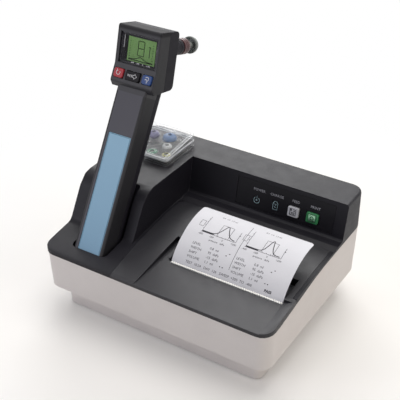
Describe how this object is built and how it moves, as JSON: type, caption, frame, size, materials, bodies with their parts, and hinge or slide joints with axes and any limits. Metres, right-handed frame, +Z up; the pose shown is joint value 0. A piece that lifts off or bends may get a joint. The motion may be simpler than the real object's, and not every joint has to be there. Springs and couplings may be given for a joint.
{
  "type": "portable tympanometer",
  "caption": "Hand-held ear probe leaning in a charging base with a paper printer, a key panel on a low tower and a clear box of spare ear tips.",
  "frame": {"origin": "middle of the whole object's bounding box, level with the underside of the rubber feet", "axes": "+Z up; +Y to the rear, the way the ear tip points; +X to the right seen from the front"},
  "size_m": [0.232, 0.1928, 0.2451],
  "materials": {
    "pale_plastic": "fine-textured warm grey moulded plastic",
    "dark_plastic": "fine-textured dark grey moulded plastic",
    "panel_plastic": "near-black satin panel",
    "shell_grey": "fine-textured grey moulded plastic",
    "rubber": "matt black rubber",
    "paper": "thermal printing paper, smooth and matt",
    "steel": "bright pressed and turned steel",
    "bright_metal": "bright aluminium",
    "brass": "plated brass contacts",
    "pale_gear": "natural acetal",
    "board_green": "green lacquered circuit board",
    "battery_wrap": "blue shrink sleeve over cells",
    "lcd_green": "yellow-green display glass",
    "clear_plastic": "clear moulded plastic",
    "clear_lid": "clear moulded plastic",
    "lamp_clear": "pale light pipes",
    "white_plastic": "white moulded plastic",
    "collar_brown": "dark reddish brown plastic",
    "label_blue": "light blue printed film",
    "grey_key": "light grey key",
    "green_key": "green key",
    "red_key": "red key",
    "blue_key": "blue key",
    "tip_grey": "soft grey silicone",
    "tip_blue": "soft blue silicone",
    "tip_white": "soft white silicone",
    "tip_green": "soft green silicone",
    "tip_purple": "soft purple silicone",
    "tip_yellow": "soft yellow silicone"
  },
  "bodies": {
    "base": {"lower_case": "pale_plastic", "base_plate": "dark_plastic", "foot_front_left": "rubber", "foot_front_right": "rubber", "foot_rear_left": "rubber", "foot_rear_right": "rubber", "top_cover": "dark_plastic", "control_panel": "panel_plastic", "power_lamp": "lamp_clear", "charge_lamp": "lamp_clear", "panel_board": "board_green", "main_board": "board_green", "power_inlet": "dark_plastic", "printer_frame": "steel", "cover_pin_left": "steel", "cover_pin_right": "steel", "print_head": "bright_metal", "drive_motor": "steel", "contact_pin_left": "brass", "contact_pin_right": "brass"},
    "cover": {"printer_cover": "dark_plastic", "tear_bar": "bright_metal", "paper_sheet": "paper"},
    "platen": {"platen_roller": "rubber", "platen_gear": "pale_gear"},
    "pinion": {"motor_gear": "steel"},
    "roll": {"paper_roll": "paper", "roll_spindle": "dark_plastic"},
    "feed_key": {"feed_button": "grey_key"},
    "print_key": {"print_button": "green_key"},
    "tip_box": {"tip_tray": "clear_plastic", "tip_box_pin": "steel", "spare_tip_blue": "tip_blue", "spare_tip_green": "tip_green", "spare_tip_yellow": "tip_yellow", "spare_tip_white": "tip_white", "spare_tip_purple": "tip_purple"},
    "box_lid": {"tip_lid": "clear_lid"},
    "probe": {"probe_front_shell": "dark_plastic", "probe_rear_shell": "shell_grey", "display_window": "clear_plastic", "display_module": "lcd_green", "probe_label": "label_blue", "battery_pack": "battery_wrap", "probe_board": "board_green", "key_board": "board_green", "pump_motor": "steel", "nose_cone": "shell_grey", "nose_collar": "collar_brown", "probe_cone": "white_plastic", "charge_pad_left": "brass", "charge_pad_right": "brass"},
    "red_key": {"red_button": "red_key"},
    "select_key": {"select_button": "dark_plastic"},
    "blue_key": {"blue_button": "blue_key"},
    "ear_tip": {"probe_ear_tip": "tip_grey"}
  },
  "joints": [
    {"name": "probe_lift", "type": "slide", "parent": "base", "child": "probe", "axis": [0, 0.515, 0.8572], "range_m": [0, 0.12]},
    {"name": "red_press", "type": "slide", "parent": "probe", "child": "red_key", "axis": [0, 0.8572, -0.515], "range_m": [0, 0.0012], "stiffness_N_per_m": 800, "springref_m": -0.0004},
    {"name": "select_press", "type": "slide", "parent": "probe", "child": "select_key", "axis": [0, 0.8572, -0.515], "range_m": [0, 0.0012], "stiffness_N_per_m": 800, "springref_m": -0.0004},
    {"name": "blue_press", "type": "slide", "parent": "probe", "child": "blue_key", "axis": [0, 0.8572, -0.515], "range_m": [0, 0.0012], "stiffness_N_per_m": 800, "springref_m": -0.0004},
    {"name": "ear_tip_pull", "type": "slide", "parent": "probe", "child": "ear_tip", "axis": [0, 0.9636, -0.2672], "range_m": [0, 0.03]},
    {"name": "cover_hinge", "type": "hinge", "parent": "base", "child": "cover", "pos_m": [0, 0.00921, 0.07035], "axis": [-1, 0, 0], "range_deg": [0, 55]},
    {"name": "platen_spin", "type": "hinge", "parent": "base", "child": "platen", "pos_m": [0, -0.04589, 0.0505], "axis": [1, 0, 0], "continuous": true},
    {"name": "pinion_spin", "type": "hinge", "parent": "base", "child": "pinion", "pos_m": [0, -0.04589, 0.0361], "axis": [1, 0, 0], "continuous": true},
    {"name": "roll_spin", "type": "hinge", "parent": "base", "child": "roll", "pos_m": [0, -0.01139, 0.0485], "axis": [1, 0, 0], "continuous": true},
    {"name": "feed_press", "type": "slide", "parent": "base", "child": "feed_key", "axis": [0, 0.9763, -0.2164], "range_m": [0, 0.001], "stiffness_N_per_m": 800, "springref_m": -0.0004},
    {"name": "print_press", "type": "slide", "parent": "base", "child": "print_key", "axis": [0, 0.9763, -0.2164], "range_m": [0, 0.001], "stiffness_N_per_m": 800, "springref_m": -0.0004},
    {"name": "box_lift", "type": "slide", "parent": "base", "child": "tip_box", "axis": [0, 0, 1], "range_m": [0, 0.03]},
    {"name": "lid_hinge", "type": "hinge", "parent": "tip_box", "child": "box_lid", "pos_m": [0, 0.06771, 0.1165], "axis": [-1, 0, 0], "range_deg": [0, 110]}
  ],
  "couplings": [
    {"joint": "pinion_spin", "follows": "platen_spin", "ratio": -2}
  ]
}
